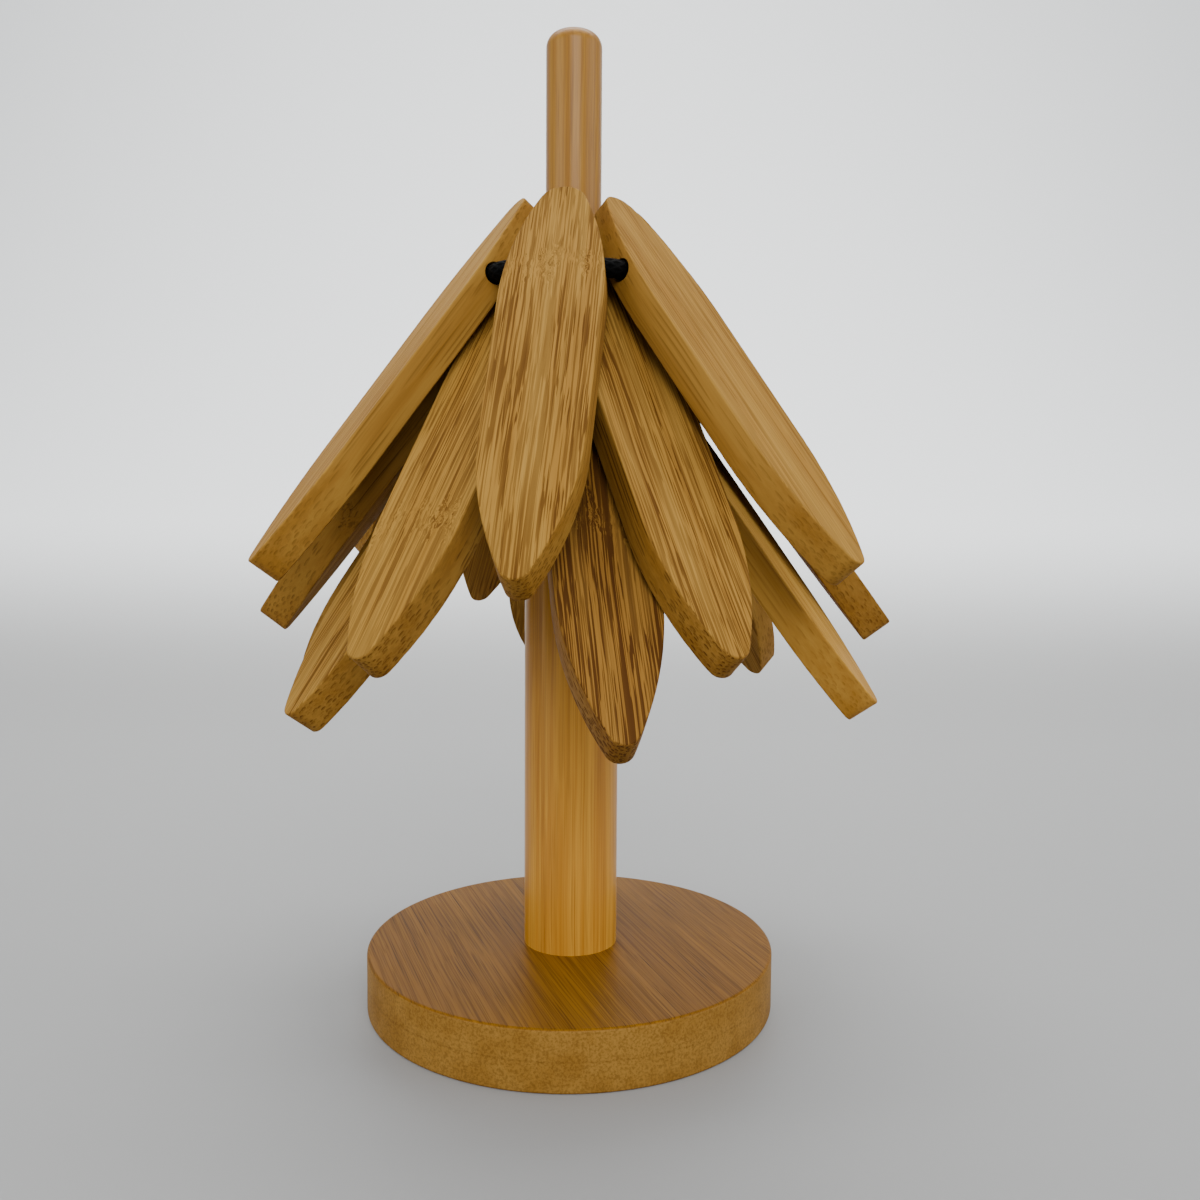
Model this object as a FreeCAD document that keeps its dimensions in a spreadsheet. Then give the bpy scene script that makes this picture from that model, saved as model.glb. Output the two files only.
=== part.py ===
"""Bamboo trivet tree: a round stand with a rod, and three folding leaf trivets stacked on it.

Frame: +Z up, origin on the axis of the rod at the underside of the base, millimetres.
The front of the object faces -Y.  A leaf's heading is its turn about Z from the front,
positive towards +X; its tilt is the angle between its length and straight down.
"""
import FreeCAD, Part
import math
import os
import Sketcher
from FreeCAD import Placement, Rotation, Vector

doc = FreeCAD.newDocument("trivet_tree")

# ---------------------------------------------------------------- driving dimensions
SIZES = {
    # stand
    "base_diameter": 100.0,
    "base_thickness": 14.0,
    "base_bevel": 0.6,
    "post_diameter": 23.0,
    "post_top_height": 151.2,
    "post_rounding": 1.0,
    "rod_diameter": 13.3,
    "rod_top_height": 233.4,
    "rod_rounding": 3.6,
    "rod_socket_depth": 25.0,
    # screw that holds the post to the base, from below
    "screw_length": 38.0,
    "screw_radius": 2.0,
    "screw_head_radius": 3.9,
    "screw_tip_length": 5.0,
    "screw_recess": 1.0,
    "screw_hole_radius": 2.25,
    "screw_pilot_radius": 2.05,
    "countersink_radius": 4.2,
    "cross_slot_width": 1.0,
    "cross_slot_span": 4.6,
    "cross_slot_depth": 1.6,
    # one leaf: lengths are measured along it from the centre of its cord hole
    "leaf_inner_reach": 22.4,
    "leaf_outer_reach": 82.6,
    "leaf_thickness": 7.6,
    "leaf_inner_radius": 5.5,
    "leaf_tip_radius": 3.1,
    "leaf_shoulder_place": 13.1,
    "leaf_shoulder_half": 11.3,
    "leaf_flank_place": 49.4,
    "leaf_flank_half": 10.6,
    "leaf_edge_rounding": 0.45,
    "leaf_hole_diameter": 5.2,
    # cord rings
    "cord_diameter": 4.2,
    "top_ring_radius": 24.5,
    "middle_ring_radius": 24.5,
    "bottom_ring_radius": 24.5,
    "top_ring_height": 173.5,
    "middle_ring_height": 157.3,
    "bottom_ring_height": 141.5,
}

# Each trivet's leaves, in order round the rod, as (heading, tilt, outward, shorter): two angles
# in degrees, how far the leaf's hole sits outside the ring's nominal radius, and how much shorter
# the leaf is than the longest kind, in millimetres.
LEAVES = {
    "top": [
        (-6.4, 35.6, 0.8, 0.0), (47.6, 38.6, -0.2, -0.6), (108.0, 36.8, 0.0, 0.0),
        (169.8, 36.8, 0.0, 0.0), (233.4, 37.2, 0.0, 0.0), (296.5, 36.9, -0.6, 0.0),
    ],
    "middle": [
        (24.7, 37.6, 0.1, 0.0), (83.6, 37.2, 0.0, 1.7), (144.0, 37.0, 0.0, 1.7),
        (203.7, 41.4, 0.0, 0.7), (273.0, 37.2, -0.1, 3.2), (329.8, 36.4, 0.6, 0.0),
    ],
    "bottom": [
        (8.5, 38.8, 0.0, 0.0), (70.7, 35.6, -0.6, 2.3), (131.4, 36.5, -0.1, 2.3),
        (190.0, 38.0, 0.0, 2.8), (251.0, 37.6, 0.0, 2.5), (310.0, 35.9, 0.0, 2.8),
    ],
}

CORNER_SLACK = 0.25   # how far a cord corner may cut in from the middle of a hole mouth

sheet = doc.addObject("Spreadsheet::Sheet", "Sizes")
for row, (alias, value) in enumerate(SIZES.items(), start=1):
    sheet.set(f"A{row}", alias)
    sheet.set(f"B{row}", str(value))
    sheet.setAlias(f"B{row}", alias)
doc.recompute()


def size(alias):
    """A driving dimension, read back from the sheet."""
    return float(sheet.get(alias))


# ---------------------------------------------------------------- sketch helpers
def new_body(label):
    body = doc.addObject("PartDesign::Body", label)
    body.Label = label
    return body


def new_sketch(body, name, plane):
    """A sketch of the body, flat on its origin plane of the given role."""
    sketch = body.newObject("Sketcher::SketchObject", name)
    role = next(f for f in body.Origin.OriginFeatures if f.Role == plane)
    sketch.AttachmentSupport = [(role, "")]
    sketch.MapMode = "FlatFace"
    return sketch


def bind(sketch, constraint, expression):
    """Add a dimension to the sketch and bind it to an expression of the sheet."""
    index = sketch.addConstraint(constraint)
    sketch.setExpression(f"Constraints[{index}]", expression)


def place_point(sketch, geometry, end, across, up):
    """Hold one end of a piece of geometry at two expressions from the sketch's origin."""
    point = sketch.getPoint(geometry, end)
    for kind, expression, value, axis in (
        ("DistanceX", across, point.x, -2),
        ("DistanceY", up, point.y, -1),
    ):
        if expression == "0":
            sketch.addConstraint(Sketcher.Constraint("PointOnObject", geometry, end, axis))
        else:
            held = Sketcher.Constraint(kind, -1, 1, geometry, end, value)
            bind(sketch, held, expression)


def value_of(expression):
    """The number that an expression of the sheet gives."""
    names = {alias: size(alias) for alias in SIZES}
    for alias in sorted(names, key=len, reverse=True):
        expression = expression.replace(f"Sizes.{alias}", f"({names[alias]})")
    return sheet.evalExpression(expression)


def polygon(sketch, corners):
    """A closed outline of straight lines, each corner at two expressions of the sheet."""
    points = [Vector(value_of(across), value_of(up), 0) for across, up in corners]
    count = len(points)
    for i in range(count):
        sketch.addGeometry(Part.LineSegment(points[i], points[(i + 1) % count]), False)
    for i in range(count):
        sketch.addConstraint(Sketcher.Constraint("Coincident", i, 2, (i + 1) % count, 1))
    for i, (across, up) in enumerate(corners):
        place_point(sketch, i, 1, across, up)


def turned(label, corners):
    """A body turned about Z from a half outline in the XZ plane."""
    body = new_body(label)
    sketch = new_sketch(body, f"{label}_outline", "XZ_Plane")
    polygon(sketch, corners)
    turn = body.newObject("PartDesign::Revolution", f"{label}_turned")
    turn.Profile = sketch
    turn.ReferenceAxis = (sketch, ["V_Axis"])
    turn.Angle = 360.0
    doc.recompute()
    return body


def round_edges(body, wanted, alias):
    """Round the edges of the body's tip that pass the test, by a radius from the sheet."""
    last = body.Tip
    names = [f"Edge{i}" for i, edge in enumerate(last.Shape.Edges, start=1) if wanted(edge)]
    fillet = body.newObject("PartDesign::Fillet", f"{body.Label}_rounded")
    fillet.Base = (last, names)
    fillet.setExpression("Radius", f"Sizes.{alias}")
    doc.recompute()


def rim_at(radius, height):
    """A test for a round edge about Z of the given radius at the given height."""
    def wanted(edge):
        curve = edge.Curve
        if not isinstance(curve, Part.Circle):
            return False
        return abs(curve.Radius - radius) < 0.01 and abs(curve.Center.z - height) < 0.01
    return wanted


# ---------------------------------------------------------------- stand
def make_base_disc():
    """Round base with eased rims and a countersunk screw hole from below."""
    rim = "Sizes.base_diameter / 2"
    eased = f"{rim} - Sizes.base_bevel"
    return turned("base_disc", [
        ("Sizes.countersink_radius", "0"),
        (eased, "0"),
        (rim, "Sizes.base_bevel"),
        (rim, "Sizes.base_thickness - Sizes.base_bevel"),
        (eased, "Sizes.base_thickness"),
        ("Sizes.screw_hole_radius", "Sizes.base_thickness"),
        ("Sizes.screw_hole_radius",
         "Sizes.screw_recess + Sizes.countersink_radius - Sizes.screw_hole_radius"),
        ("Sizes.countersink_radius", "Sizes.screw_recess"),
    ])


def make_lower_post():
    """Thick post on the base: a pilot hole for the screw below, the rod's socket above."""
    pilot_top = "Sizes.screw_recess + Sizes.screw_length + 1"
    socket_floor = "Sizes.post_top_height - Sizes.rod_socket_depth"
    body = turned("lower_post", [
        ("Sizes.screw_pilot_radius", "Sizes.base_thickness"),
        ("Sizes.post_diameter / 2", "Sizes.base_thickness"),
        ("Sizes.post_diameter / 2", "Sizes.post_top_height"),
        ("Sizes.rod_diameter / 2", "Sizes.post_top_height"),
        ("Sizes.rod_diameter / 2", socket_floor),
        ("0", socket_floor),
        ("0", pilot_top),
        ("Sizes.screw_pilot_radius", pilot_top),
    ])
    round_edges(body, rim_at(size("post_diameter") / 2, size("post_top_height")), "post_rounding")
    return body


def make_upper_rod():
    """Thin rod glued in the post's socket, with a rounded top."""
    foot = "Sizes.post_top_height - Sizes.rod_socket_depth"
    body = turned("upper_rod", [
        ("0", foot),
        ("Sizes.rod_diameter / 2", foot),
        ("Sizes.rod_diameter / 2", "Sizes.rod_top_height"),
        ("0", "Sizes.rod_top_height"),
    ])
    round_edges(body, rim_at(size("rod_diameter") / 2, size("rod_top_height")), "rod_rounding")
    return body


def make_base_screw():
    """Countersunk wood screw, head down, with a cross slot in its head."""
    tip = "Sizes.screw_recess + Sizes.screw_length"
    body = turned("base_screw", [
        ("0", "Sizes.screw_recess"),
        ("Sizes.screw_head_radius", "Sizes.screw_recess"),
        ("Sizes.screw_head_radius", "Sizes.screw_recess + 0.3"),
        ("Sizes.screw_radius",
         "Sizes.screw_recess + 0.3 + Sizes.screw_head_radius - Sizes.screw_radius"),
        ("Sizes.screw_radius", f"{tip} - Sizes.screw_tip_length"),
        ("0", tip),
    ])
    for turn, (across, along) in enumerate((("span", "width"), ("width", "span"))):
        sketch = new_sketch(body, f"cross_slot_{turn}", "XY_Plane")
        half_x = f"Sizes.cross_slot_{across} / 2"
        half_y = f"Sizes.cross_slot_{along} / 2"
        polygon(sketch, [
            (f"-{half_x}", f"-{half_y}"),
            (half_x, f"-{half_y}"),
            (half_x, half_y),
            (f"-{half_x}", half_y),
        ])
        before = body.Shape.Volume
        slot = body.newObject("PartDesign::Pocket", f"cross_slot_cut_{turn}")
        slot.Profile = sketch
        slot.Reversed = True
        slot.setExpression("Length", "Sizes.screw_recess + Sizes.cross_slot_depth")
        doc.recompute()
        if body.Shape.Volume >= before:
            raise RuntimeError("the screw's cross slot cuts nothing")
    return body


# ---------------------------------------------------------------- leaves
def tangent_arc(start, lean, end_centre, end_radius):
    """The arc that leaves a straight flank at start and meets an end circle smoothly.

    start is a point of the flank and lean the flank's angle; the end circle is centred on the
    leaf's middle line.  Returns the arc's centre and radius and the point where they meet.
    """
    inward = Vector(math.sin(lean), -math.cos(lean), 0)
    gap = start - end_centre
    radius = (end_radius ** 2 - gap.dot(gap)) / (2 * (gap.dot(inward) + end_radius))
    centre = start + inward * radius
    meeting = centre + (end_centre - centre).normalize() * radius
    return centre, radius, meeting


def arc_between(centre, start, end):
    """The shorter arc about centre from start to end, drawn counterclockwise."""
    radius = (start - centre).Length
    first = math.atan2(start.y - centre.y, start.x - centre.x)
    last = math.atan2(end.y - centre.y, end.x - centre.x)
    circle = Part.Circle(centre, Vector(0, 0, 1), radius)
    return Part.ArcOfCircle(circle, first, last)


def leaf_outline(sketch, shorter):
    """Leaf outline: a broad inner end, two nearly straight flanks and a narrow tip.

    It is drawn counterclockwise, so every piece starts where the one before it ends.
    """
    inner = Vector(size("leaf_inner_radius") - size("leaf_inner_reach"), 0, 0)
    tip = Vector(size("leaf_outer_reach") - size("leaf_tip_radius") - shorter, 0, 0)
    shoulder = Vector(size("leaf_shoulder_place"), size("leaf_shoulder_half"), 0)
    flank = Vector(size("leaf_flank_place"), size("leaf_flank_half"), 0)
    lean = math.atan2(flank.y - shoulder.y, flank.x - shoulder.x)
    upper_in, _, meet_in = tangent_arc(shoulder, lean, inner, size("leaf_inner_radius"))
    upper_out, _, meet_out = tangent_arc(flank, lean, tip, size("leaf_tip_radius"))

    def below(point):
        return Vector(point.x, -point.y, 0)

    pieces = [
        arc_between(tip, below(meet_out), meet_out),
        arc_between(upper_out, meet_out, flank),
        Part.LineSegment(flank, shoulder),
        arc_between(upper_in, shoulder, meet_in),
        arc_between(inner, meet_in, below(meet_in)),
        arc_between(below(upper_in), below(meet_in), below(shoulder)),
        Part.LineSegment(below(shoulder), below(flank)),
        arc_between(below(upper_out), below(flank), below(meet_out)),
    ]
    for piece in pieces:
        sketch.addGeometry(piece, False)
    count = len(pieces)
    for i in range(count):
        sketch.addConstraint(Sketcher.Constraint("Tangent", i, 2, (i + 1) % count, 1))
    outer_place = f"Sizes.leaf_outer_reach - Sizes.leaf_tip_radius - ({shorter})"
    inner_place = "Sizes.leaf_inner_radius - Sizes.leaf_inner_reach"
    place_point(sketch, 0, 3, outer_place, "0")
    place_point(sketch, 4, 3, inner_place, "0")
    bind(sketch, Sketcher.Constraint("Radius", 0, size("leaf_tip_radius")), "Sizes.leaf_tip_radius")
    bind(sketch, Sketcher.Constraint("Radius", 4, size("leaf_inner_radius")), "Sizes.leaf_inner_radius")
    place_point(sketch, 2, 1, "Sizes.leaf_flank_place", "Sizes.leaf_flank_half")
    place_point(sketch, 2, 2, "Sizes.leaf_shoulder_place", "Sizes.leaf_shoulder_half")
    place_point(sketch, 6, 1, "Sizes.leaf_shoulder_place", "-Sizes.leaf_shoulder_half")
    place_point(sketch, 6, 2, "Sizes.leaf_flank_place", "-Sizes.leaf_flank_half")


def on_leaf_face(edge):
    """Whether an edge of a leaf's slab runs round its inner or outer face."""
    half = size("leaf_thickness") / 2
    return all(abs(abs(v.Z) - half) < 1e-3 for v in edge.Vertexes)


def make_leaf(trivet, number, heading, tilt, outward, shorter):
    """One bamboo leaf, with its cord hole centred on its own origin, placed on its ring."""
    label = f"{trivet}_leaf_{number}"
    body = new_body(label)
    outline = new_sketch(body, f"{label}_outline", "XY_Plane")
    leaf_outline(outline, shorter)
    slab = body.newObject("PartDesign::Pad", f"{label}_slab")
    slab.Profile = outline
    slab.Midplane = True
    slab.setExpression("Length", "Sizes.leaf_thickness")
    doc.recompute()
    round_edges(body, on_leaf_face, "leaf_edge_rounding")

    mouth = new_sketch(body, f"{label}_hole_mouth", "XZ_Plane")
    mouth.addGeometry(Part.Circle(Vector(0, 0, 0), Vector(0, 0, 1), size("leaf_hole_diameter") / 2), False)
    mouth.addConstraint(Sketcher.Constraint("Coincident", 0, 3, -1, 1))
    bind(mouth, Sketcher.Constraint("Diameter", 0, size("leaf_hole_diameter")), "Sizes.leaf_hole_diameter")
    before = body.Shape.Volume
    hole = body.newObject("PartDesign::Pocket", f"{label}_hole")
    hole.Profile = mouth
    hole.Midplane = True
    hole.Type = "ThroughAll"
    doc.recompute()
    if body.Shape.Volume >= before:
        raise RuntimeError(f"the cord hole of {label} cuts nothing")

    body.Placement = leaf_placement(trivet, heading, tilt, outward)
    return body


def leaf_axes(heading, tilt):
    """A leaf's own axes: along its length, across its width, and out of its outer face."""
    turn = math.radians(heading)
    lean = math.radians(tilt)
    outward = Vector(math.sin(turn), -math.cos(turn), 0)
    across = Vector(math.cos(turn), math.sin(turn), 0)
    up = Vector(0, 0, 1)
    along = outward * math.sin(lean) - up * math.cos(lean)
    facing = outward * math.cos(lean) + up * math.sin(lean)
    return along, across, facing


def leaf_placement(trivet, heading, tilt, outward):
    """Where a leaf sits: its hole's centre on the trivet's ring, leaning out by its tilt."""
    along, across, facing = leaf_axes(heading, tilt)
    height = size(f"{trivet}_ring_height")
    place = hole_centre(trivet, heading, outward) + Vector(0, 0, height)
    return Placement(place, Rotation(along, across, facing, "XYZ"))


# ---------------------------------------------------------------- cord rings
def hole_centre(trivet, heading, outward):
    """The middle of a leaf's cord hole, seen from above with the rod at the origin."""
    turn = math.radians(heading)
    return Vector(math.sin(turn), -math.cos(turn), 0) * (size(f"{trivet}_ring_radius") + outward)


def cord_corner(here, there):
    """Where the straight runs through two neighbouring holes would cross."""
    into, out_of = run_direction(here), run_direction(there)
    gap = there - here
    return here + into * (gap.cross(out_of).z / into.cross(out_of).z)


def cord_path(holes):
    """The closed middle line of a cord ring: a straight run through each leaf's hole,
    and between the leaves a rounded corner that starts just inside the nearer hole mouth."""
    count = len(holes)
    corners = []
    for i in range(count):
        here, there = holes[i], holes[(i + 1) % count]
        corner = cord_corner(here, there)
        half_turn = run_direction(here).getAngle(run_direction(there)) / 2
        run = min((corner - here).Length, (corner - there).Length)
        beyond_mouth = run - mouth_half_width()
        # solve the corner's tangent length so that it cuts in by CORNER_SLACK at the mouth
        tangent = beyond_mouth
        for _ in range(30):
            bend = tangent / math.tan(half_turn)
            tangent = beyond_mouth + math.sqrt(2 * bend * CORNER_SLACK)
        corners.append((corner, half_turn, min(tangent, 0.8 * run)))
    edges = []
    for i in range(count):
        corner, half_turn, tangent = corners[i]
        into = run_direction(holes[i])
        out_of = run_direction(holes[(i + 1) % count])
        start = corner - into * tangent
        end = corner + out_of * tangent
        inner = (out_of - into).normalize()
        bend = tangent / math.tan(half_turn)
        middle = corner + inner * (bend / math.cos(half_turn) - bend)
        edges.append(Part.Arc(start, middle, end).toShape())
        next_corner, _, next_tangent = corners[(i + 1) % count]
        edges.append(Part.LineSegment(end, next_corner - out_of * next_tangent).toShape())
    return Part.Wire(edges)


def run_direction(hole):
    """The way the cord runs through a hole: square to the line from the rod to the hole."""
    return Vector(-hole.y, hole.x, 0).normalize()


def mouth_half_width():
    """Half the leaf's width beside its cord hole, measured on the finished leaf."""
    shape = doc.getObject("top_leaf_1").Tip.Shape
    half = size("leaf_hole_diameter") / 2
    reach = 2 * size("leaf_shoulder_half")
    probe = Part.makeBox(0.1, reach, 0.1, Vector(-0.05, 0, half))
    return shape.common(probe).BoundBox.YMax


def make_cord(trivet, holes):
    """Elastic cord ring through one trivet's leaves; its ends are joined inside a hole."""
    label = f"{trivet}_cord"
    path = cord_path(holes)
    lengths = []
    pieces = []
    for edge in path.Edges:
        start = edge.valueAt(edge.FirstParameter)
        along = edge.tangentAt(edge.FirstParameter)
        section = Part.Face(Part.Wire(Part.makeCircle(size("cord_diameter") / 2, start, along)))
        if isinstance(edge.Curve, Part.Circle):
            turn = math.degrees(edge.Length / edge.Curve.Radius)
            pieces.append(section.revolve(edge.Curve.Center, Vector(0, 0, 1), turn))
        else:
            pieces.append(section.extrude(along * edge.Length))
        lengths.append(edge.Length)
    ring = pieces[0].fuse(pieces[1:])
    cord = doc.addObject("Part::Feature", label)
    cord.Label = label
    cord.Shape = ring
    cord.Placement = Placement(Vector(0, 0, size(f"{trivet}_ring_height")), Rotation())
    section_area = math.pi * size("cord_diameter") ** 2 / 4
    print(label, "path", round(sum(lengths), 2), "ring volume / (section x length)",
          round(ring.Volume / (section_area * sum(lengths)), 4))
    return cord


# ---------------------------------------------------------------- assembly
parts = [make_base_disc(), make_lower_post(), make_upper_rod(), make_base_screw()]
for trivet, leaves in LEAVES.items():
    for number, leaf in enumerate(leaves, start=1):
        parts.append(make_leaf(trivet, number, *leaf))
for trivet, leaves in LEAVES.items():
    holes = [hole_centre(trivet, heading, outward) for heading, _, outward, _ in leaves]
    parts.append(make_cord(trivet, holes))
doc.recompute()

for item in doc.Objects:
    if "Invalid" in item.State or "Error" in item.State:
        raise RuntimeError(f"{item.Label} failed: {item.State}")
for part in parts:
    if part.Shape.isNull() or not part.Shape.isValid():
        raise RuntimeError(f"{part.Label} has no valid shape")

os.makedirs("parts", exist_ok=True)
for part in parts:
    part.Shape.exportStep(f"parts/{part.Label}.step")
    print(part.Label, len(part.Shape.Solids), "solid", round(part.Shape.Volume, 1), "mm3")
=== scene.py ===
"""Looks of the bamboo trivet tree: varnished stand, raw bamboo leaves and black cord rings."""
import math

import bmesh
import bpy
from mathutils import Matrix, Vector, noise


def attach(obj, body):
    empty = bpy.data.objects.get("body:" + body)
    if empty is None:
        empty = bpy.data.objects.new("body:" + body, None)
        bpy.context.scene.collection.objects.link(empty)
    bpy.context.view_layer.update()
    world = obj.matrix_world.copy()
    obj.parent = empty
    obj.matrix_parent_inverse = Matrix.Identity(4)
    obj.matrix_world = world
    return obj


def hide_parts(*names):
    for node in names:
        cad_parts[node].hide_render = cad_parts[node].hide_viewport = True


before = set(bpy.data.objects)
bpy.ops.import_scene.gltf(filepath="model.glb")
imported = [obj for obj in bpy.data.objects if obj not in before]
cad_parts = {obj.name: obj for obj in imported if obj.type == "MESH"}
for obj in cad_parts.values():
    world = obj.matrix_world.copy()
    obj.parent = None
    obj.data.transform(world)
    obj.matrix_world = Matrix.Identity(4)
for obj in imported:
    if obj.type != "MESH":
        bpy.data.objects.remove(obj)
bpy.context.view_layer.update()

MM = 0.001

# ------------------------------------------------------------------ sizes, in millimetres
BASE_RADIUS = 50.0
BASE_THICKNESS = 14.0
BASE_ROUNDING = 0.7
SCREW_HEAD_RADIUS = 4.2
SCREW_HEAD_DEPTH = 1.0
SCREW_SHANK_RADIUS = 2.25
SCREW_CONE_TOP = 2.95
POST_RADIUS = 11.5
POST_TOP = 151.2
POST_ROUNDING = 1.0
ROD_RADIUS = 6.65
ROD_FOOT = 126.2
ROD_TOP = 233.4
ROD_ROUNDING = 3.6

LEAF_INNER_REACH = 22.4
LEAF_OUTER_REACH = 82.6
LEAF_THICKNESS = 7.6
LEAF_INNER_RADIUS = 5.5
LEAF_TIP_RADIUS = 3.1
LEAF_SHOULDER = (13.1, 11.3)
LEAF_FLANK = (49.4, 10.6)
LEAF_ROUNDING = 0.4
LEAF_HOLE_RADIUS = 2.6
CORD_RADIUS = 2.1
YARN_COUNT = 8        # yarns of one slant round the cord
YARN_PITCH = 2.6      # how fast they wind, in radians for each mm along it

# Ring radius and height of each trivet, then one row for each leaf: heading round the rod and
# tilt from the vertical in degrees; how far its hole lies outside the ring and how much
# shorter the leaf is, in mm; then its looks: random seed, lightness (painted light on one
# leaf), strength of the strands, place of the cane's node along the leaf in mm (past the
# tip for none) and share of amber.
TRIVETS = {
    "top": (24.5, 173.5, [
        (-6.4, 35.6, 0.8, 0.0, 1.0, 1.02, 1.0, 2.0, 0.1),
        (47.6, 38.6, -0.2, -0.6, 2.0, 1.0, 0.55, 130.0, 0.15),
        (108.0, 36.8, 0.0, 0.0, 3.0, 1.0, 0.8, 40.0, 0.2),
        (169.8, 36.8, 0.0, 0.0, 4.0, 0.96, 1.0, 10.0, 0.35),
        (233.4, 37.2, 0.0, 0.0, 5.0, 1.04, 0.8, 58.0, 0.1),
        (296.5, 36.9, -0.6, 0.0, 6.0, 1.1, 0.6, 130.0, 0.05),
    ]),
    "middle": (24.5, 157.3, [
        (24.7, 37.6, 0.1, 0.0, 7.0, 0.98, 1.1, 130.0, 0.22),
        (83.6, 37.2, 0.0, 1.7, 8.0, 0.97, 0.8, 62.0, 0.25),
        (144.0, 37.0, 0.0, 1.7, 9.0, 1.0, 0.9, 33.0, 0.15),
        (203.7, 41.4, 0.0, 0.7, 10.0, 0.98, 0.9, 130.0, 0.3),
        (273.0, 37.2, -0.1, 3.2, 11.0, 1.02, 0.8, 45.0, 0.15),
        (329.8, 36.4, 0.6, 0.0, 12.0, 1.0, 0.95, 52.0, 0.12),
    ]),
    "bottom": (24.5, 141.5, [
        (8.5, 38.8, 0.0, 0.0, 13.0, 0.88, 1.4, 30.0, 0.75),
        # painted light: this leaf's lightness of 1.4 brightens it where the leaf above shades it
        (70.7, 35.6, -0.6, 2.3, 14.0, 1.4, 0.5, 130.0, 0.0),
        (131.4, 36.5, -0.1, 2.3, 15.0, 0.98, 0.8, 15.0, 0.2),
        (190.0, 38.0, 0.0, 2.8, 16.0, 1.0, 0.9, 52.0, 0.2),
        (251.0, 37.6, 0.0, 2.5, 17.0, 1.0, 0.8, 130.0, 0.15),
        (310.0, 35.9, 0.0, 2.8, 18.0, 1.0, 0.95, 130.0, 0.12),
    ]),
}
CORNER_SLACK = 0.25   # how far a cord corner cuts in from the middle of a hole mouth
MOUTH_HALF = 10.75    # half a leaf's width beside its cord hole


# ------------------------------------------------------------------ shader building
class Shader:
    """A material under construction: each method adds a node and returns its output."""

    def __init__(self, name):
        self.material = bpy.data.materials.new(name)
        self.material.use_nodes = True
        self.tree = self.material.node_tree
        self.surface = self.tree.nodes["Principled BSDF"]

    def node(self, kind, inputs=None, out=0, **settings):
        made = self.tree.nodes.new(kind)
        for key, value in settings.items():
            setattr(made, key, value)
        for key, value in (inputs or {}).items():
            self.feed(made.inputs[key], value)
        return made.outputs[out]

    def feed(self, socket, value):
        if isinstance(value, bpy.types.NodeSocket):
            self.tree.links.new(value, socket)
        else:
            socket.default_value = value

    def math(self, operation, a, b=0.0, clamp=False):
        return self.node("ShaderNodeMath", {0: a, 1: b}, operation=operation, use_clamp=clamp)

    def vector(self, operation, a, b=(0, 0, 0)):
        return self.node("ShaderNodeVectorMath", {0: a, 1: b}, operation=operation)

    def split(self, vector):
        made = self.tree.nodes.new("ShaderNodeSeparateXYZ")
        self.feed(made.inputs[0], vector)
        return made.outputs

    def join(self, x, y, z):
        return self.node("ShaderNodeCombineXYZ", {0: x, 1: y, 2: z})

    def ramp(self, value, low, high, to_low=0.0, to_high=1.0):
        """Smooth step of a value from low..high to to_low..to_high."""
        return self.node(
            "ShaderNodeMapRange",
            {"Value": value, "From Min": low, "From Max": high,
             "To Min": to_low, "To Max": to_high},
            interpolation_type="SMOOTHSTEP", clamp=True)

    def mix(self, factor, a, b, blend="MIX"):
        made = self.tree.nodes.new("ShaderNodeMix")
        made.data_type = "RGBA"
        made.blend_type = blend
        self.feed(made.inputs[0], factor)
        self.feed(made.inputs[6], a)
        self.feed(made.inputs[7], b)
        return made.outputs[2]

    def noise(self, vector, scale=1.0, detail=2.0, rough=0.5, out=0):
        return self.node(
            "ShaderNodeTexNoise",
            {"Vector": vector, "Scale": scale, "Detail": detail, "Roughness": rough}, out=out)

    def own(self, name):
        """A number kept on the object itself."""
        return self.node("ShaderNodeAttribute", out="Fac", attribute_type="OBJECT",
                         attribute_name=name)

    def set(self, **values):
        """Surface sockets by name, with underscores for spaces."""
        for key, value in values.items():
            self.feed(self.surface.inputs[key.replace("_", " ")], value)

    def position(self):
        """The place on the object itself, in millimetres."""
        here = self.node("ShaderNodeTexCoord", out="Object")
        return self.vector("MULTIPLY", here, (1000, 1000, 1000))

    def facing(self):
        """The three parts of the object's own surface normal."""
        return self.split(self.node("ShaderNodeTexCoord", out="Normal"))

    def bump(self, strength, depth, height):
        return self.node("ShaderNodeBump",
                         {"Strength": strength, "Distance": depth, "Height": height})


def linear(red, green, blue):
    """A colour given as it looks on screen, 0 to 255, as the shader wants it."""
    def channel(value):
        value /= 255
        return value / 12.92 if value <= 0.04045 else ((value + 0.055) / 1.055) ** 2.4
    return (channel(red), channel(green), channel(blue), 1.0)


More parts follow.
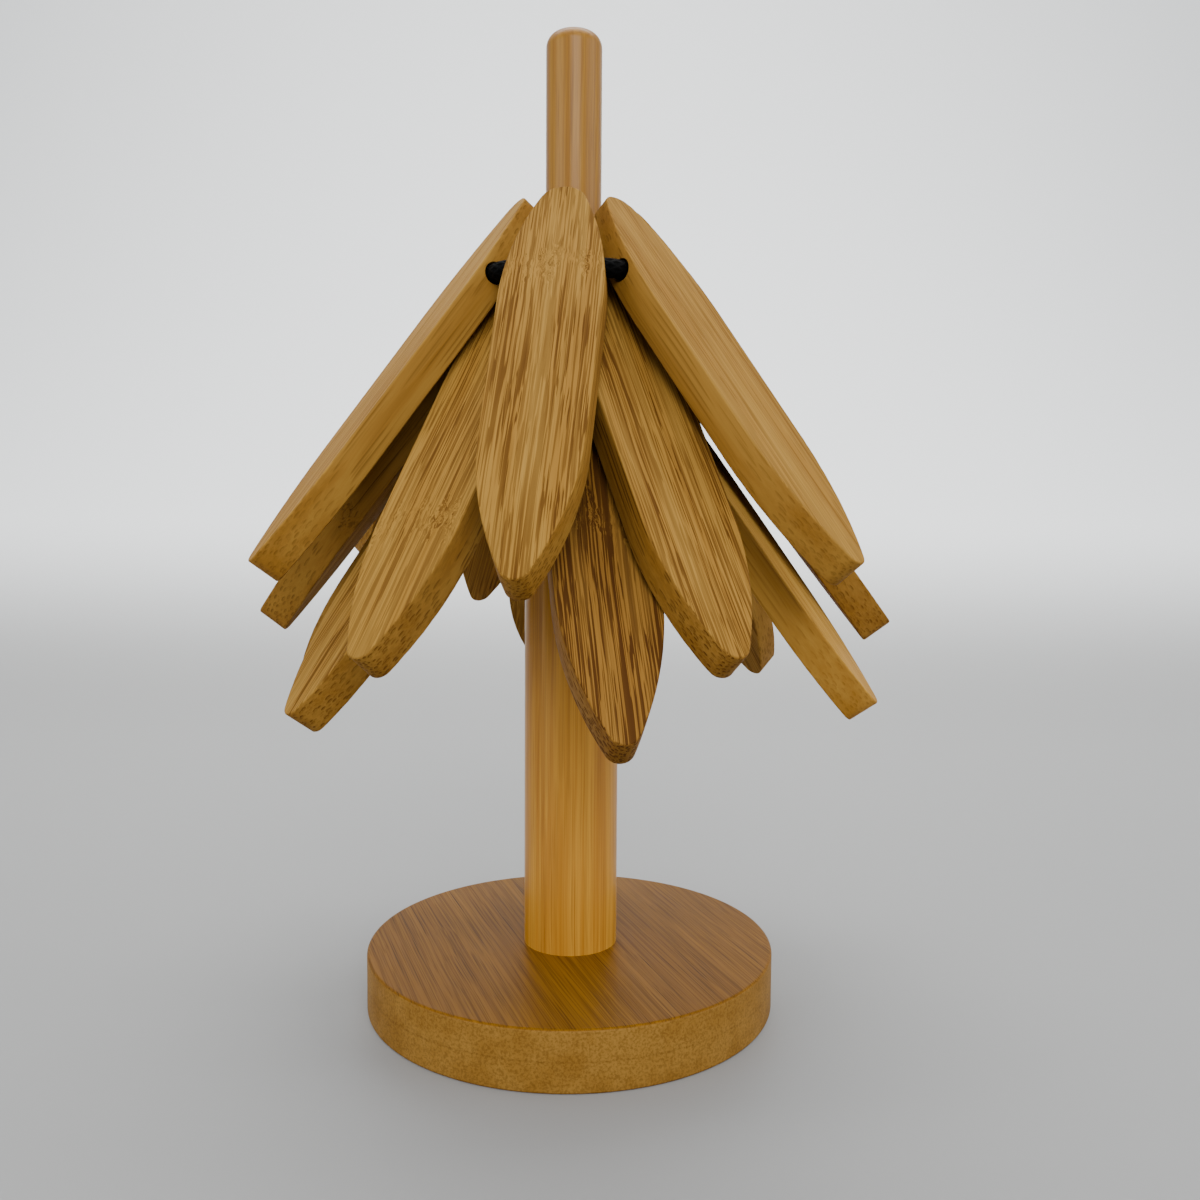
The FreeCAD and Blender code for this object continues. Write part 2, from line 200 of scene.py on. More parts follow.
def fibres(s, place, seed, cell, reach, wander):
    """Bamboo's fibre bundles as a solid: long strands along X whose cut ends are open rings.

    place is in millimetres with X along the fibres.  cell is the bundles' spacing, reach how
    long a strand shows, wander how far strands drift sideways.  Returns the marks' strength,
    a random number for each bundle, and the drifted place.
    """
    x, y, z = s.split(place)
    shift = s.math("MULTIPLY", seed, 37.7)
    slow = s.join(s.math("MULTIPLY_ADD", x, 0.022), s.math("MULTIPLY", y, 0.05),
                  s.math("ADD", s.math("MULTIPLY", z, 0.05), shift))
    drift = s.node("ShaderNodeTexNoise", {"Vector": slow, "Scale": 1.0, "Detail": 1.0}, out="Color")
    drift = s.vector("SUBTRACT", drift, (0.5, 0.5, 0.5))
    drift = s.vector("MULTIPLY", drift, (0.0, wander, wander * 1.6))
    moved = s.vector("ADD", place, drift)
    mx, my, mz = s.split(moved)
    cells = s.join(s.math("MULTIPLY", mx, 1.0 / reach),
                   s.math("ADD", s.math("MULTIPLY", my, 1.0 / cell), shift),
                   s.math("MULTIPLY", mz, 1.0 / cell))
    voronoi = s.tree.nodes.new("ShaderNodeTexVoronoi")
    voronoi.feature = "F1"
    s.feed(voronoi.inputs["Vector"], cells)
    voronoi.inputs["Scale"].default_value = 1.0
    voronoi.inputs["Randomness"].default_value = 0.75
    distance = voronoi.outputs["Distance"]
    away = s.vector("SUBTRACT", cells, voronoi.outputs["Position"])
    side = s.split(away)[2]
    outer = s.ramp(distance, 0.44, 0.30)
    core = s.ramp(distance, 0.20, 0.10, 0.0, 0.55)
    ring = s.math("SUBTRACT", outer, core, clamp=True)
    opening = s.ramp(side, -0.25, 0.2, 0.45, 1.0)
    marks = s.math("MULTIPLY", ring, opening)
    return marks, s.split(voronoi.outputs["Color"])[0], moved


def leaf_material():
    """Raw, sanded bamboo: tan with close dark strands, which show as crescents on cut flanks."""
    s = Shader("leaf_bamboo")
    place = s.position()
    seed = s.own("seed")
    tone_and_painted_light = s.own("tone_and_painted_light")
    streaks = s.own("streaks")
    node_at = s.own("node_at")
    warmth = s.own("warmth")
    shift = s.math("MULTIPLY", seed, 13.3)
    x, y, z = s.split(place)

    # the cane's node crosses the leaf as a wavy band in which the strands curl
    wave_place = s.join(s.math("MULTIPLY", x, 0.05), s.math("MULTIPLY", y, 0.25),
                        s.math("ADD", s.math("MULTIPLY", z, 0.12), shift))
    wave = s.math("MULTIPLY", s.math("SUBTRACT", s.noise(wave_place, 1.0, 2.0), 0.5), 22.0)
    away = s.math("ABSOLUTE", s.math("ADD", s.math("SUBTRACT", x, node_at), wave))
    part = s.noise(s.join(shift, s.math("MULTIPLY", y, 0.24), 0.0), 1.0, 1.0)
    part = s.ramp(part, 0.46, 0.58, 0.25, 1.0)
    band = s.math("MULTIPLY", s.ramp(away, 6.0, 1.0), part)
    knot = s.ramp(away, 3.2, 0.6)
    curl_place = s.vector("ADD", s.vector("MULTIPLY", place, (0.45, 0.75, 0.75)),
                          s.join(shift, 0.0, 0.0))
    curl = s.vector("SUBTRACT", s.noise(curl_place, 1.0, 2.0, out="Color"), (0.5, 0.5, 0.5))
    curl = s.vector("MULTIPLY", curl, (7.0, 3.0, 3.0))
    curled = s.node("ShaderNodeVectorMath", {0: curl, "Scale": band}, operation="SCALE")
    bent = s.vector("ADD", place, curled)

    marks, chance, moved = fibres(s, bent, seed, 0.92, 60.0, 1.1)
    fine_marks, fine_chance, _ = fibres(s, bent, s.math("ADD", seed, 5.3), 0.60, 30.0, 0.9)
    mx, my, mz = s.split(moved)

    def lines(along, across, salt, low, high):
        spot = s.join(s.math("MULTIPLY", mx, along), s.math("MULTIPLY", my, across),
                      s.math("ADD", s.math("MULTIPLY", mz, across), s.math("ADD", shift, salt)))
        return s.ramp(s.noise(spot, 1.0, 1.0, 0.4), low, high)

    # broad faces: long close lines of two widths, and short pores
    wide = lines(0.010, 1.75, 0.0, 0.535, 0.595)
    thin = lines(0.014, 2.7, 7.7, 0.515, 0.590)
    pore = lines(0.07, 2.4, 3.1, 0.585, 0.640)

    # long zones in which the strands run darker or paler
    zone_place = s.join(s.math("MULTIPLY", x, 0.014), s.math("MULTIPLY", y, 0.22),
                        s.math("ADD", s.math("MULTIPLY", z, 0.22), shift))
    zone = s.noise(zone_place, 1.0, 3.0, 0.55)
    zone_ink = s.ramp(zone, 0.36, 0.64, 0.60, 1.20)

    nx, _, nz = s.facing()
    flank = s.ramp(s.math("ABSOLUTE", nz), 0.75, 0.25)
    end = s.ramp(s.math("ABSOLUTE", nx), 0.10, 0.75)

    along_grain = s.math("MAXIMUM", s.math("MULTIPLY", wide, 0.76), s.math("MULTIPLY", thin, 0.58))
    along_grain = s.math("MAXIMUM", along_grain, s.math("MULTIPLY", pore, 0.85))
    along_grain = s.math("MULTIPLY", along_grain, zone_ink)
    along_grain = s.math("MULTIPLY", along_grain, s.ramp(flank, 0.0, 1.0, 1.0, 0.25))
    cut = s.math("MULTIPLY", marks, s.ramp(chance, 0.0, 0.8, 0.65, 1.0))
    fine_cut = s.math("MULTIPLY", s.math("MULTIPLY", fine_marks, fine_chance), 0.6)
    cut = s.math("MAXIMUM", cut, fine_cut)
    cut = s.math("MULTIPLY", cut, s.ramp(flank, 0.0, 1.0, 0.38, 1.0))
    dark = s.math("MAXIMUM", along_grain, cut)
    dark = s.math("MULTIPLY", dark, streaks)
    curls = s.ramp(s.noise(s.vector("MULTIPLY", bent, (0.55, 1.5, 1.5)), 1.0, 2.0), 0.50, 0.62)
    specks = s.math("MULTIPLY", s.math("MULTIPLY", knot, part), s.math("MULTIPLY", curls, 0.5))
    dark = s.math("MULTIPLY", dark, s.ramp(knot, 0.0, 1.0, 1.0, 0.8))
    dark = s.math("ADD", dark, specks, clamp=True)

    pale = linear(156, 119, 52)
    tan = linear(140, 101, 38)
    amber = linear(138, 92, 32)
    mark = linear(76, 44, 6)
    red_mark = linear(58, 26, 5)
    ground = s.mix(s.ramp(zone, 0.30, 0.70), pale, tan)
    ground = s.mix(s.math("MULTIPLY", warmth, 0.7), ground, amber)
    ink = s.mix(warmth, mark, red_mark)
    colour = s.mix(s.math("MULTIPLY", dark, 0.88), ground, ink)

    # sawn flanks and ends drink in more of the finish than the broad faces
    colour = s.mix(s.math("MULTIPLY", flank, 0.35), colour, linear(220, 202, 160), "MULTIPLY")
    colour = s.mix(s.math("MULTIPLY", end, 0.30), colour, linear(205, 185, 145), "MULTIPLY")
    # each leaf's lightness: mostly its own tone, on one lower leaf painted light that brightens it
    # against the shade of the leaf above
    colour = s.mix(1.0, colour, s.join(tone_and_painted_light, tone_and_painted_light, tone_and_painted_light), "MULTIPLY")
    rough = s.math("ADD", 0.62, s.math("MULTIPLY", dark, 0.2))
    height = s.math("SUBTRACT", s.math("MULTIPLY", zone, 0.3), dark)
    bump = s.bump(0.5, 0.08 * MM, height)
    s.set(Base_Color=colour, Roughness=rough, Normal=bump)
    s.surface.inputs["Specular IOR Level"].default_value = 0.08
    return s.material


def varnished_material(name, turn, strip, cell, colours, contrast, gloss, coat):
    """Varnished laminated bamboo: strips glued side by side, fine strands along each.

    turn is the rotation that brings the strands onto X; strip is a strip's width in mm.
    """
    s = Shader(name)
    place = s.node("ShaderNodeVectorRotate", {"Vector": s.position(), "Rotation": turn},
                   rotation_type="EULER_XYZ")
    _, y, z = s.split(place)
    across = s.math("DIVIDE", y, strip)
    number = s.math("FLOOR", across)
    within = s.math("ABSOLUTE", s.math("SUBTRACT", s.math("FRACT", across), 0.5))
    seam = s.ramp(within, 0.470, 0.498)
    pick = s.node("ShaderNodeTexWhiteNoise", {"W": number}, noise_dimensions="1D")
    offset = s.join(s.math("MULTIPLY", pick, 90.0), 0.0, s.math("MULTIPLY", pick, 31.0))
    shifted = s.vector("ADD", place, offset)
    marks, chance, moved = fibres(s, shifted, 3.0, cell, 40.0, 1.0)
    sx, sy, sz = s.split(moved)
    hair = s.noise(s.join(s.math("MULTIPLY", sx, 0.016), s.math("MULTIPLY", sy, 3.4),
                          s.math("MULTIPLY", sz, 3.4)), 1.0, 2.0, 0.6)
    streak = s.noise(s.join(s.math("MULTIPLY", sx, 0.008), s.math("MULTIPLY", sy, 0.55),
                            s.math("MULTIPLY", sz, 0.55)), 1.0, 3.0, 0.6)

    light, mid, deep = colours
    colour = s.mix(s.ramp(streak, 0.33, 0.67), light, mid)
    colour = s.mix(s.ramp(pick, 0.15, 1.0, 0.0, 0.45), colour, mid)
    dark = s.math("MULTIPLY", marks, s.ramp(chance, 0.1, 0.9, 0.2, 0.8))
    dark = s.math("ADD", s.math("MULTIPLY", dark, contrast),
                  s.math("MULTIPLY", s.ramp(hair, 0.47, 0.62), contrast * 0.8))
    side = s.ramp(s.math("ABSOLUTE", s.facing()[2]), 0.7, 0.3)
    dark = s.math("ADD", dark, s.math("MULTIPLY", seam, 0.16), clamp=True)
    colour = s.mix(dark, colour, deep)
    tone_and_painted_light = s.own("tone_and_painted_light")
    # lightness of the piece; on the rod this is painted shade
    colour = s.mix(1.0, colour, s.join(tone_and_painted_light, tone_and_painted_light, tone_and_painted_light), "MULTIPLY")
    edge = s.math("MULTIPLY", side, s.own("edge"))
    ply = s.ramp(s.math("ABSOLUTE", s.math("SUBTRACT", z, 7.0)), 0.35, 0.1, 0.0, 0.18)
    grit = s.ramp(s.noise(place, 1.7, 3.0, 0.7), 0.42, 0.62, 0.0, 0.5)
    cloud = s.ramp(s.noise(place, 0.11, 3.0, 0.6), 0.35, 0.65)
    sawn = s.mix(cloud, linear(146, 108, 48), linear(132, 94, 36))
    sawn = s.mix(s.math("ADD", grit, ply, clamp=True), sawn, linear(84, 54, 12))
    colour = s.mix(edge, colour, sawn)
    height = s.math("SUBTRACT", s.math("MULTIPLY", hair, 0.4), s.math("MULTIPLY", marks, 0.5))
    bump = s.bump(0.25, 0.05 * MM, height)
    rough = s.math("ADD", gloss, s.math("MULTIPLY", hair, 0.14))
    s.set(Base_Color=colour, Roughness=rough, Normal=bump)
    s.surface.inputs["Specular IOR Level"].default_value = coat * 1.5 + 0.04
    s.surface.inputs["Coat Weight"].default_value = coat
    s.surface.inputs["Coat Roughness"].default_value = 0.22
    return s.material


def cord_material():
    """Black braided elastic: two families of yarns that cross at a slant, slightly fuzzy."""
    s = Shader("braided_cord")
    uv = s.node("ShaderNodeTexCoord", out="UV")
    u, v, _ = s.split(uv)
    along = s.math("MULTIPLY", u, YARN_PITCH)
    around = s.math("MULTIPLY", v, YARN_COUNT * 2 * math.pi)
    one = s.math("SINE", s.math("ADD", along, around))
    two = s.math("SINE", s.math("SUBTRACT", along, around))
    yarn = s.math("MAXIMUM", one, two)
    fuzz = s.noise(s.join(s.math("MULTIPLY", u, 9.0), s.math("MULTIPLY", v, 60.0), 0.0), 1.0, 2.0)
    colour = s.mix(s.ramp(yarn, 0.2, 1.0), linear(1, 1, 1), linear(3, 3, 3))
    colour = s.mix(s.math("MULTIPLY", fuzz, 0.3), colour, linear(4, 4, 4))
    height = s.math("ADD", yarn, s.math("MULTIPLY", fuzz, 0.4))
    bump = s.bump(0.8, 0.12 * MM, height)
    s.set(Base_Color=colour, Roughness=s.ramp(yarn, -0.2, 1.0, 0.85, 0.6), Normal=bump)
    s.surface.inputs["Specular IOR Level"].default_value = 0.05
    return s.material


def steel_material():
    """Zinc-plated steel with fine turning marks and a patchy, slightly blue plating."""
    s = Shader("zinc_steel")
    place = s.position()
    x, y, z = s.split(place)
    radius = s.math("SQRT", s.math("ADD", s.math("MULTIPLY", x, x), s.math("MULTIPLY", y, y)))
    out_and_up = s.math("ADD", radius, s.math("MULTIPLY", z, 0.7))
    rings = s.math("SINE", s.math("MULTIPLY", out_and_up, 40.0))
    cloud = s.noise(place, 0.8, 3.0)
    colour = s.mix(s.ramp(cloud, 0.35, 0.65), linear(178, 178, 174), linear(150, 153, 158))
    bump = s.bump(0.3, 0.02 * MM, rings)
    s.set(Base_Color=colour, Roughness=s.ramp(cloud, 0.3, 0.7, 0.28, 0.42), Normal=bump)
    s.surface.inputs["Metallic"].default_value = 1.0
    return s.material


# ------------------------------------------------------------------ mesh building
def make_object(name, mesh, material):
    mesh.materials.append(material)
    made = bpy.data.objects.new(name, mesh)
    bpy.context.scene.collection.objects.link(made)
    return made


def arc_points(centre, radius, first, last, steps):
    """Points along an arc, its end left out."""
    return [
        Vector((centre[0] + radius * math.cos(first + (last - first) * i / steps),
                centre[1] + radius * math.sin(first + (last - first) * i / steps)))
        for i in range(steps)
    ]


def tangent_arc(start, lean, end_centre, end_radius):
    """The arc that leaves a flank smoothly at start and meets an end circle smoothly."""
    inward = Vector((math.sin(lean), -math.cos(lean)))
    gap = start - end_centre
    radius = (end_radius ** 2 - gap.dot(gap)) / (2 * (gap.dot(inward) + end_radius))
    centre = start + inward * radius
    meeting = centre + (end_centre - centre).normalized() * radius
    return centre, radius, meeting


def heading_of(centre, point):
    return math.atan2(point.y - centre.y, point.x - centre.x)


def leaf_outline(shorter):
    """A leaf's outline counterclockwise from its tip, in millimetres from its cord hole."""
    inner = Vector((LEAF_INNER_RADIUS - LEAF_INNER_REACH, 0))
    tip = Vector((LEAF_OUTER_REACH - LEAF_TIP_RADIUS - shorter, 0))
    shoulder = Vector(LEAF_SHOULDER)
    flank = Vector(LEAF_FLANK)
    lean = math.atan2(flank.y - shoulder.y, flank.x - shoulder.x)
    in_centre, in_radius, in_meet = tangent_arc(shoulder, lean, inner, LEAF_INNER_RADIUS)
    out_centre, out_radius, out_meet = tangent_arc(flank, lean, tip, LEAF_TIP_RADIUS)
    half = arc_points(tip, LEAF_TIP_RADIUS, 0, heading_of(tip, out_meet), 12)
    half += arc_points(out_centre, out_radius, heading_of(out_centre, out_meet),
                       heading_of(out_centre, flank), 40)
    half += [flank.lerp(shoulder, i / 20) for i in range(20)]
    half += arc_points(in_centre, in_radius, heading_of(in_centre, shoulder),
                       heading_of(in_centre, in_meet), 36)
    half += arc_points(inner, LEAF_INNER_RADIUS, heading_of(inner, in_meet), math.pi, 16)
    half.append(inner + Vector((-LEAF_INNER_RADIUS, 0)))
    other = [Vector((p.x, -p.y)) for p in reversed(half[1:-1])]
    return half + other


def outline_normals(points):
    count = len(points)
    normals = []
    for i in range(count):
        along = points[(i + 1) % count] - points[i - 1]
        normals.append(Vector((along.y, -along.x)).normalized())
    return normals


def leaf_mesh(name, seed, shorter):
    """A leaf with rounded edges, very slightly uneven as sanded bamboo is, and its cord hole."""
    points = leaf_outline(shorter)
    normals = outline_normals(points)
    half = LEAF_THICKNESS / 2
    steps = 4
    rings = []
    for side in (-1, 1):
        order = range(steps + 1) if side < 0 else range(steps, -1, -1)
        for k in order:
            angle = math.pi / 2 * k / steps
            rings.append((side, angle))
    built = bmesh.new()
    loops = []
    for side, angle in rings:
        loop = []
        for point, normal in zip(points, normals):
            rough = noise.noise(Vector((point.x * 0.55 + seed * 9, point.y * 0.55, side * 3.0)))
            rounding = LEAF_ROUNDING * (1 + 0.35 * rough)
            inset = rounding * (1 - math.sin(angle))
            level = side * (half - rounding * (1 - math.cos(angle)))
            spot = point - normal * inset
            loop.append(built.verts.new((spot.x * MM, spot.y * MM, level * MM)))
        loops.append(loop)
    count = len(points)
    for low, high in zip(loops, loops[1:]):
        for i in range(count):
            j = (i + 1) % count
            built.faces.new((low[i], low[j], high[j], high[i]))
    # broad faces: strips across the leaf between the mirrored halves of the outline
    last = count // 2
    for loop in (loops[0], loops[-1]):
        built.faces.new((loop[0], loop[1], loop[-1]))
        for i in range(1, last - 1):
            built.faces.new((loop[i], loop[i + 1], loop[-i - 1], loop[-i]))
        built.faces.new((loop[last - 1], loop[last], loop[1 - last]))
    bmesh.ops.recalc_face_normals(built, faces=built.faces)
    mesh = bpy.data.meshes.new(name)
    built.to_mesh(mesh)
    built.free()

    solid = bpy.data.objects.new(f"{name}_uncut", mesh)
    bpy.context.scene.collection.objects.link(solid)
    drill = bpy.data.meshes.new(f"{name}_drill")
    cutter = bmesh.new()
    bmesh.ops.create_cone(
        cutter, cap_ends=True, segments=40, radius1=LEAF_HOLE_RADIUS * MM,
        radius2=LEAF_HOLE_RADIUS * MM, depth=40 * MM, matrix=Matrix.Rotation(math.pi / 2, 4, "X"))
    cutter.to_mesh(drill)
    cutter.free()
    drill_object = bpy.data.objects.new(f"{name}_drill", drill)
    bpy.context.scene.collection.objects.link(drill_object)
    cut = solid.modifiers.new("cord_hole", "BOOLEAN")
    cut.object = drill_object
    cut.operation = "DIFFERENCE"
    cut.solver = "EXACT"
    graph = bpy.context.evaluated_depsgraph_get()
    done = bpy.data.meshes.new_from_object(solid.evaluated_get(graph))
    bpy.data.objects.remove(solid)
    bpy.data.objects.remove(drill_object)
    done.name = name
    soften(done, 35)
    return done


def soften(mesh, limit):
    """Smooth shading with sharp edges only where faces meet at more than limit degrees."""
    shaped = bmesh.new()
    shaped.from_mesh(mesh)
    for face in shaped.faces:
        face.smooth = True
    for edge in shaped.edges:
        if len(edge.link_faces) != 2:
            continue
        flat = [abs(face.normal.z) > 0.9999 for face in edge.link_faces]
        bend = edge.calc_face_angle(0.0)
        edge.smooth = bend < math.radians(limit) and flat[0] == flat[1]
    shaped.to_mesh(mesh)
    shaped.free()


def lathe(name, profile, segments, material):
    """A round piece turned from (radius, height) points in mm that start and end on the axis."""
    built = bmesh.new()
    previous = None
    for radius, height in profile:
        if radius == 0:
            ring = [built.verts.new((0, 0, height * MM))]
        else:
            ring = [
                built.verts.new((radius * MM * math.cos(2 * math.pi * i / segments),
                                 radius * MM * math.sin(2 * math.pi * i / segments), height * MM))
                for i in range(segments)
            ]
        if previous is not None:
            for i in range(segments):
                j = (i + 1) % segments
                corners = [previous[i % len(previous)], previous[j % len(previous)],
                           ring[j % len(ring)], ring[i % len(ring)]]
                unique = list(dict.fromkeys(corners))
                built.faces.new(unique)
        previous = ring
    bmesh.ops.recalc_face_normals(built, faces=built.faces)
    mesh = bpy.data.meshes.new(name)
    built.to_mesh(mesh)
    built.free()
    soften(mesh, 30)
    return make_object(name, mesh, material)


def rounded(radius, height, rounding, up, steps=8):
    """Profile points round a rim at the given radius and height; up for a top rim."""
    points = []
    for k in range(steps + 1):
        angle = math.pi / 2 * k / steps
        if up:
            points.append((radius - rounding * (1 - math.cos(angle)),
                           height - rounding * (1 - math.sin(angle))))
        else:
            points.append((radius - rounding * (1 - math.sin(angle)),
                           height + rounding * (1 - math.cos(angle))))
    return points


def leaf_axes(heading, tilt):
    turn = math.radians(heading)
    lean = math.radians(tilt)
    outward = Vector((math.sin(turn), -math.cos(turn), 0))
    across = Vector((math.cos(turn), math.sin(turn), 0))
    up = Vector((0, 0, 1))
    along = outward * math.sin(lean) - up * math.cos(lean)
    facing = outward * math.cos(lean) + up * math.sin(lean)
    return along, across, facing


def hole_centre(radius, heading):
    """The middle of a leaf's cord hole, seen from above with the rod at the origin."""
    turn = math.radians(heading)
    return Vector((math.sin(turn), -math.cos(turn), 0)) * radius


def leaf_matrix(radius, height, heading, tilt):
    """Where a leaf sits: its own axes as columns, and its cord hole's centre."""
    columns = Matrix(leaf_axes(heading, tilt)).transposed().to_4x4()
    spot = hole_centre(radius, heading) + Vector((0, 0, height))
    return Matrix.Translation(spot * MM) @ columns


def cord_points(holes, mouth):
    """The ring's middle line: straight through each hole, rounded between the leaves."""
    def direction(hole):
        return Vector((-hole.y, hole.x, 0)).normalized()

    bends = []
    count = len(holes)
    for i in range(count):
        here, there = holes[i], holes[(i + 1) % count]
        into, out_of = direction(here), direction(there)
        corner = here + into * ((there - here).cross(out_of).z / into.cross(out_of).z)
        half = into.angle(out_of) / 2
        run = min((corner - here).length, (corner - there).length)
        tangent = run - mouth
        for _ in range(30):
            tangent = run - mouth + math.sqrt(2 * tangent / math.tan(half) * CORNER_SLACK)
        tangent = min(tangent, 0.8 * run)
        bend = tangent / math.tan(half)
        centre = corner + (out_of - into).normalized() * (bend / math.cos(half))
        start = corner - into * tangent - centre
        first = math.atan2(start.y, start.x)
        bends.append([
            centre + Vector((math.cos(first + 2 * half * k / 16),
                             math.sin(first + 2 * half * k / 16), 0)) * bend
            for k in range(17)
        ])
    points = []
    for i in range(count):
        points += bends[i]
        points += [bends[i][-1].lerp(bends[(i + 1) % count][0], k / 8) for k in range(1, 8)]
    return points


def ring_tube(name, points, height, radius, material, sides=20):
    """A closed tube along points in a level plane, with its length and girth as UV."""
    built = bmesh.new()
    layer = built.loops.layers.uv.new("UVMap")
    count = len(points)
    rings = []
    lengths = [0.0]
    for i in range(count):
        lengths.append(lengths[-1] + (points[(i + 1) % count] - points[i]).length)
        along = (points[(i + 1) % count] - points[i - 1]).normalized()
        outward = Vector((along.y, -along.x, 0))
        ring = []
        for k in range(sides):
            angle = 2 * math.pi * k / sides
            offset = outward * math.cos(angle) + Vector((0, 0, 1)) * math.sin(angle)
            spot = points[i] + Vector((0, 0, height)) + offset * radius
            ring.append(built.verts.new(spot * MM))
        rings.append(ring)
    for i in range(count):
        low, high = rings[i], rings[(i + 1) % count]
        for k in range(sides):
            m = (k + 1) % sides
            face = built.faces.new((low[k], low[m], high[m], high[k]))
            face.smooth = True
            for loop, (u, v) in zip(face.loops, (
                (lengths[i], k), (lengths[i], k + 1), (lengths[i + 1], k + 1), (lengths[i + 1], k),
            )):
                loop[layer].uv = (u, v / sides)
    bmesh.ops.recalc_face_normals(built, faces=built.faces)
    mesh = bpy.data.meshes.new(name)
    built.to_mesh(mesh)
    built.free()
    return make_object(name, mesh, material)


# ------------------------------------------------------------------ the stand
# each piece's lightness, which on the rod is painted shade, and edge, how much of its side shows
# sawn end grain
board = varnished_material(
    "board_bamboo", (0.0, 0.0, math.radians(70)), 6.2, 0.62,
    (linear(136, 92, 20), linear(120, 78, 14), linear(66, 38, 4)), 0.60, 0.46, 0.02)
cane = varnished_material(
    "cane_bamboo", (0.0, math.radians(90), 0.0), 4.6, 0.70,
    (linear(190, 136, 42), linear(168, 112, 26), linear(116, 70, 12)), 0.34, 0.32, 0.12)

base_profile = [(SCREW_HEAD_RADIUS, 0)] + rounded(BASE_RADIUS, 0, BASE_ROUNDING, False)
base_profile += rounded(BASE_RADIUS, BASE_THICKNESS, BASE_ROUNDING, True)
base_profile += [(0.6 * BASE_RADIUS, BASE_THICKNESS), (POST_RADIUS - 1, BASE_THICKNESS),
                 (SCREW_SHANK_RADIUS, BASE_THICKNESS), (SCREW_SHANK_RADIUS, SCREW_CONE_TOP),
                 (SCREW_HEAD_RADIUS, SCREW_HEAD_DEPTH), (SCREW_HEAD_RADIUS, 0)]
base = lathe("base_board", base_profile, 192, board)
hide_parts("base_disc")
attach(base, "stand")
base["tone_and_painted_light"] = 1.0
base["edge"] = 0.9

post_profile = [(0, BASE_THICKNESS), (POST_RADIUS, BASE_THICKNESS), (POST_RADIUS, 60.0)]
post_profile += rounded(POST_RADIUS, POST_TOP, POST_ROUNDING, True) + [(0, POST_TOP)]
post = lathe("post_cane", post_profile, 96, cane)
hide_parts("lower_post")
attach(post, "stand")
post["tone_and_painted_light"] = 1.0
post["edge"] = 0.0

rod_profile = [(0, ROD_FOOT), (ROD_RADIUS, ROD_FOOT), (ROD_RADIUS, 180.0)]
rod_profile += rounded(ROD_RADIUS, ROD_TOP, ROD_ROUNDING, True, 12) + [(0, ROD_TOP)]
rod = lathe("rod_cane", rod_profile, 96, cane)
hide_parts("upper_rod")
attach(rod, "stand")
# painted shade: the rod is the post's own cane, its colour darkened to stand in for shade
rod["tone_and_painted_light"] = 0.60
rod["edge"] = 0.0

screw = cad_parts["base_screw"]
screw.data.materials.clear()
screw.data.materials.append(steel_material())

# ------------------------------------------------------------------ trivets
leaf_bamboo = leaf_material()
cord_black = cord_material()
for trivet, (ring_radius, ring_height, leaves) in TRIVETS.items():
    holes = []
    for number, leaf in enumerate(leaves, 1):
        heading, tilt, outward, shorter, seed, tone_and_painted_light, streaks, node_at, warmth = leaf
        node = f"{trivet}_leaf_{number}"
        piece = make_object(f"{node}_slat", leaf_mesh(f"{node}_slat", seed, shorter), leaf_bamboo)
        piece.matrix_world = leaf_matrix(ring_radius + outward, ring_height, heading, tilt)
        looks = {"seed": seed, "tone_and_painted_light": tone_and_painted_light, "streaks": streaks, "node_at": node_at,
                 "warmth": warmth}
        for key, value in looks.items():
            piece[key] = value
        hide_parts(node)
        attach(piece, "middle_trivet" if trivet == "middle" else node)
        holes.append(hole_centre(ring_radius + outward, heading))
    path = cord_points(holes, MOUTH_HALF)
    cord = ring_tube(f"{trivet}_cord_braid", path, ring_height, CORD_RADIUS, cord_black)
    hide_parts(f"{trivet}_cord")
    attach(cord, f"{trivet}_trivet")


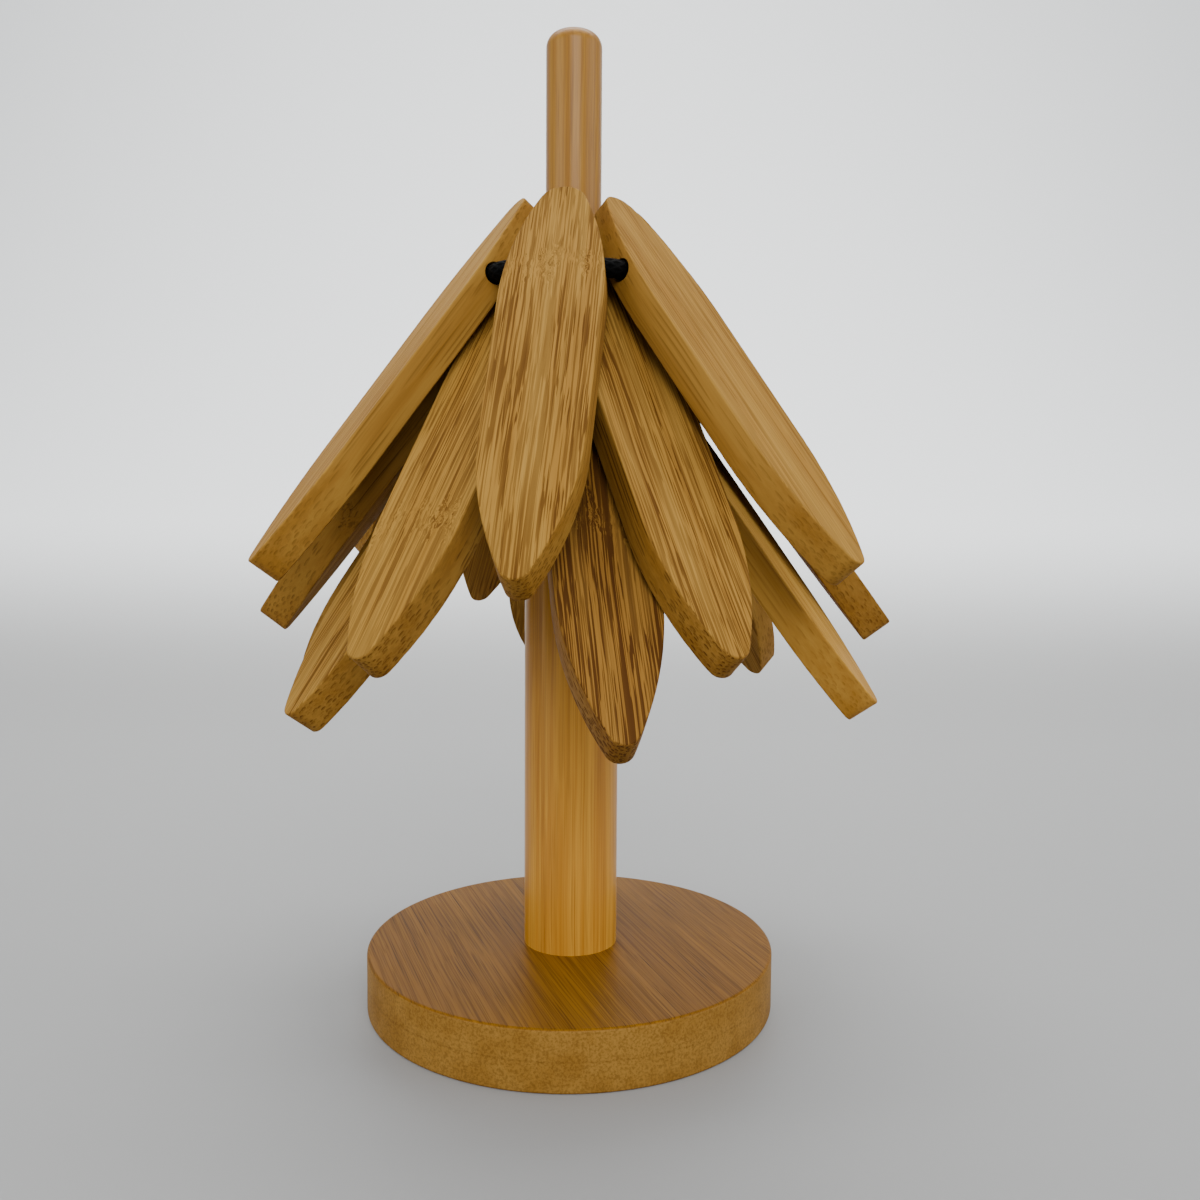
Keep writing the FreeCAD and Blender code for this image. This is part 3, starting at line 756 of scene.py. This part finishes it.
# ------------------------------------------------------------------ stage, light and camera
def sweep_floor():
    """A pale floor that curves up into a lighter backdrop."""
    front, curve_start, curve, top, half_width = -2.0, 0.30, 0.9, 3.0, 3.0
    built = bmesh.new()
    profile = [(front, 0.0), (curve_start, 0.0)]
    profile += [(curve_start + curve * math.sin(a), curve - curve * math.cos(a))
                for a in (math.pi / 2 * k / 32 for k in range(1, 33))]
    profile.append((curve_start + curve, top))
    rows = [[built.verts.new((x, y, z)) for x in (-half_width, half_width)] for y, z in profile]
    for low, high in zip(rows, rows[1:]):
        built.faces.new((low[0], low[1], high[1], high[0])).smooth = True
    mesh = bpy.data.meshes.new("floor")
    built.to_mesh(mesh)
    built.free()
    s = Shader("floor_grey")
    level = s.split(s.node("ShaderNodeTexCoord", out="Object"))[2]
    s.set(Base_Color=s.mix(s.ramp(level, 0.0, 0.12), linear(150, 150, 149), linear(244, 246, 246)))
    s.surface.inputs["Roughness"].default_value = 0.6
    return make_object("floor", mesh, s.material)


sweep_floor()


def area_light(name, place, target, width, height, power):
    data = bpy.data.lights.new(name, "AREA")
    data.shape = "RECTANGLE"
    data.size = width
    data.size_y = height
    data.energy = power
    lamp = bpy.data.objects.new(name, data)
    lamp.location = place
    lamp.rotation_euler = (Vector(target) - Vector(place)).to_track_quat("-Z", "Y").to_euler()
    bpy.context.scene.collection.objects.link(lamp)


area_light("key", (0.15, -1.0, 0.70), (0, 0, 0.12), 0.7, 0.6, 9.5)
area_light("fill", (-0.9, -0.6, 0.35), (0, 0, 0.12), 0.8, 0.8, 6)
area_light("side", (0.95, -0.25, 0.40), (0, 0, 0.12), 0.8, 0.8, 5)
area_light("top", (0.0, 0.1, 1.1), (0, 0, 0.1), 0.9, 0.9, 6)
area_light("wall", (0.0, 0.25, 0.9), (0, 1.2, 0.25), 1.2, 0.5, 12)

world = bpy.data.worlds.new("studio")
world.use_nodes = True
sky = world.node_tree.nodes["Background"]
sky.inputs["Color"].default_value = (0.93, 0.96, 1.0, 1.0)
sky.inputs["Strength"].default_value = 0.54
bpy.context.scene.world = world

CAMERA_PLACE = (0.00692, -0.2714, 0.1199)
CAMERA_PITCH = math.radians(4.35)
CAMERA_ROLL = math.radians(0.37)
camera_data = bpy.data.cameras.new("camera")
camera_data.sensor_width = 36.0
camera_data.lens = 33.27
camera = bpy.data.objects.new("camera", camera_data)
bpy.context.scene.collection.objects.link(camera)
camera.matrix_world = (
    Matrix.Translation(CAMERA_PLACE)
    @ Matrix.Rotation(math.pi / 2 - CAMERA_PITCH, 4, "X")
    @ Matrix.Rotation(CAMERA_ROLL, 4, "Z")
)
bpy.context.scene.camera = camera
